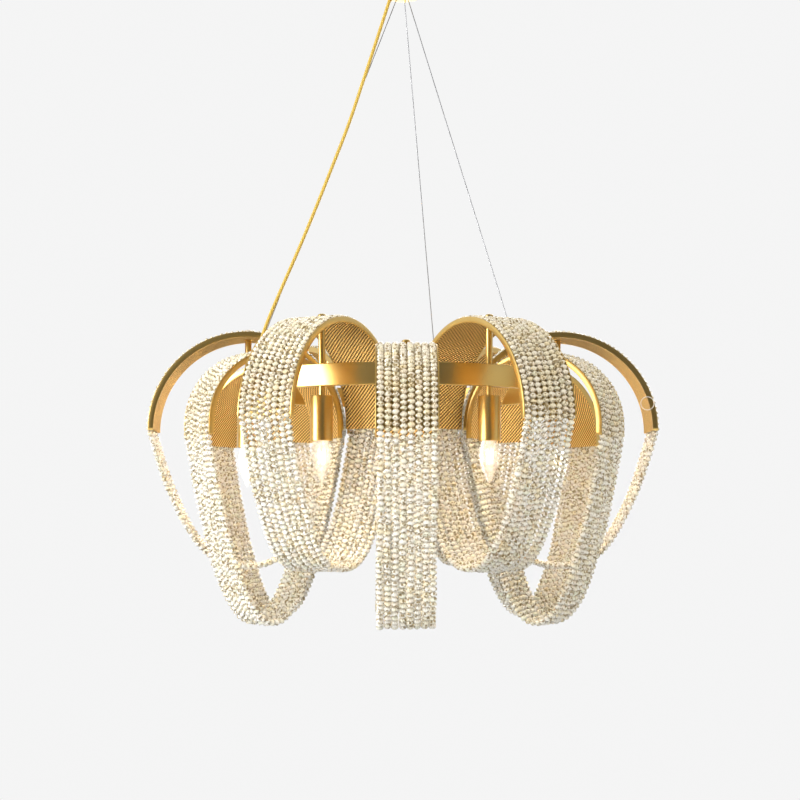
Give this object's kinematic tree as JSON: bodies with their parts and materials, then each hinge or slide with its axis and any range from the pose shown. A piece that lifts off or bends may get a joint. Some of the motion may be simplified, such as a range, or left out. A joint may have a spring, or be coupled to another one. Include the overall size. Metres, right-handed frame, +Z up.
{
  "type": "crystal chandelier",
  "caption": "Round pendant chandelier: bent gold arches on a flat ring, draped with hanging loops of crystal beads, candle bulbs inside, hung on thin wires.",
  "frame": {"origin": "middle of the ceiling face, on the bracket's top, straight above the middle of the ring", "axes": "+Z up out of the ceiling face, the lamp hangs along -Z; -Y is the side the picture was taken from; +X is its right"},
  "size_m": [0.8166, 0.7504, 1.0896],
  "materials": {
    "satin_gold": "satin",
    "crystal": "faceted, clear",
    "bulb_glass": "clear, lit warm",
    "steel_wire": "stranded",
    "gold_cord": "braided over a flexible lead",
    "holder_plastic": "matt",
    "zinc_steel": "zinc plated"
  },
  "bodies": {
    "ceiling": {"ceiling_bracket": "zinc_steel", "canopy": "satin_gold", "canopy_screws": "satin_gold", "terminal_block": "holder_plastic", "upper_pin": "zinc_steel"},
    "link": {"hanger_link": "zinc_steel"},
    "stem": {"swivel_stem": "satin_gold", "lower_pin": "zinc_steel"},
    "fixture": {"wire_hub": "satin_gold", "suspension_wire_1": "steel_wire", "suspension_wire_2": "steel_wire", "suspension_wire_3": "steel_wire", "wire_fittings": "satin_gold", "power_cord": "gold_cord", "cord_glands": "satin_gold", "ring": "satin_gold", "arches_high": "satin_gold", "arches_low": "satin_gold", "bead_curtain_high_1": "crystal", "bead_curtain_high_2": "crystal", "bead_curtain_high_3": "crystal", "bead_curtain_high_4": "crystal", "bead_curtain_high_5": "crystal", "bead_curtain_high_6": "crystal", "bead_curtain_low_1": "crystal", "bead_curtain_low_2": "crystal", "bead_curtain_low_3": "crystal", "bead_curtain_low_4": "crystal", "bead_curtain_low_5": "crystal", "bead_curtain_low_6": "crystal", "rods_high": "satin_gold", "rods_low": "satin_gold", "finials": "satin_gold", "lamp_sleeves": "satin_gold", "lampholders": "holder_plastic", "bulbs": "bulb_glass"}
  },
  "joints": [
    {"name": "swing_fore_aft", "type": "hinge", "parent": "ceiling", "child": "link", "pos_m": [0, 0, -0.014], "axis": [1, 0, 0], "range_deg": [-15, 15]},
    {"name": "swing_sideways", "type": "hinge", "parent": "link", "child": "stem", "pos_m": [0, 0, -0.032], "axis": [0, 1, 0], "range_deg": [-15, 15]},
    {"name": "turn", "type": "hinge", "parent": "stem", "child": "fixture", "pos_m": [0, 0, -0.0712], "axis": [0, 0, 1], "range_deg": [-180, 180]}
  ]
}
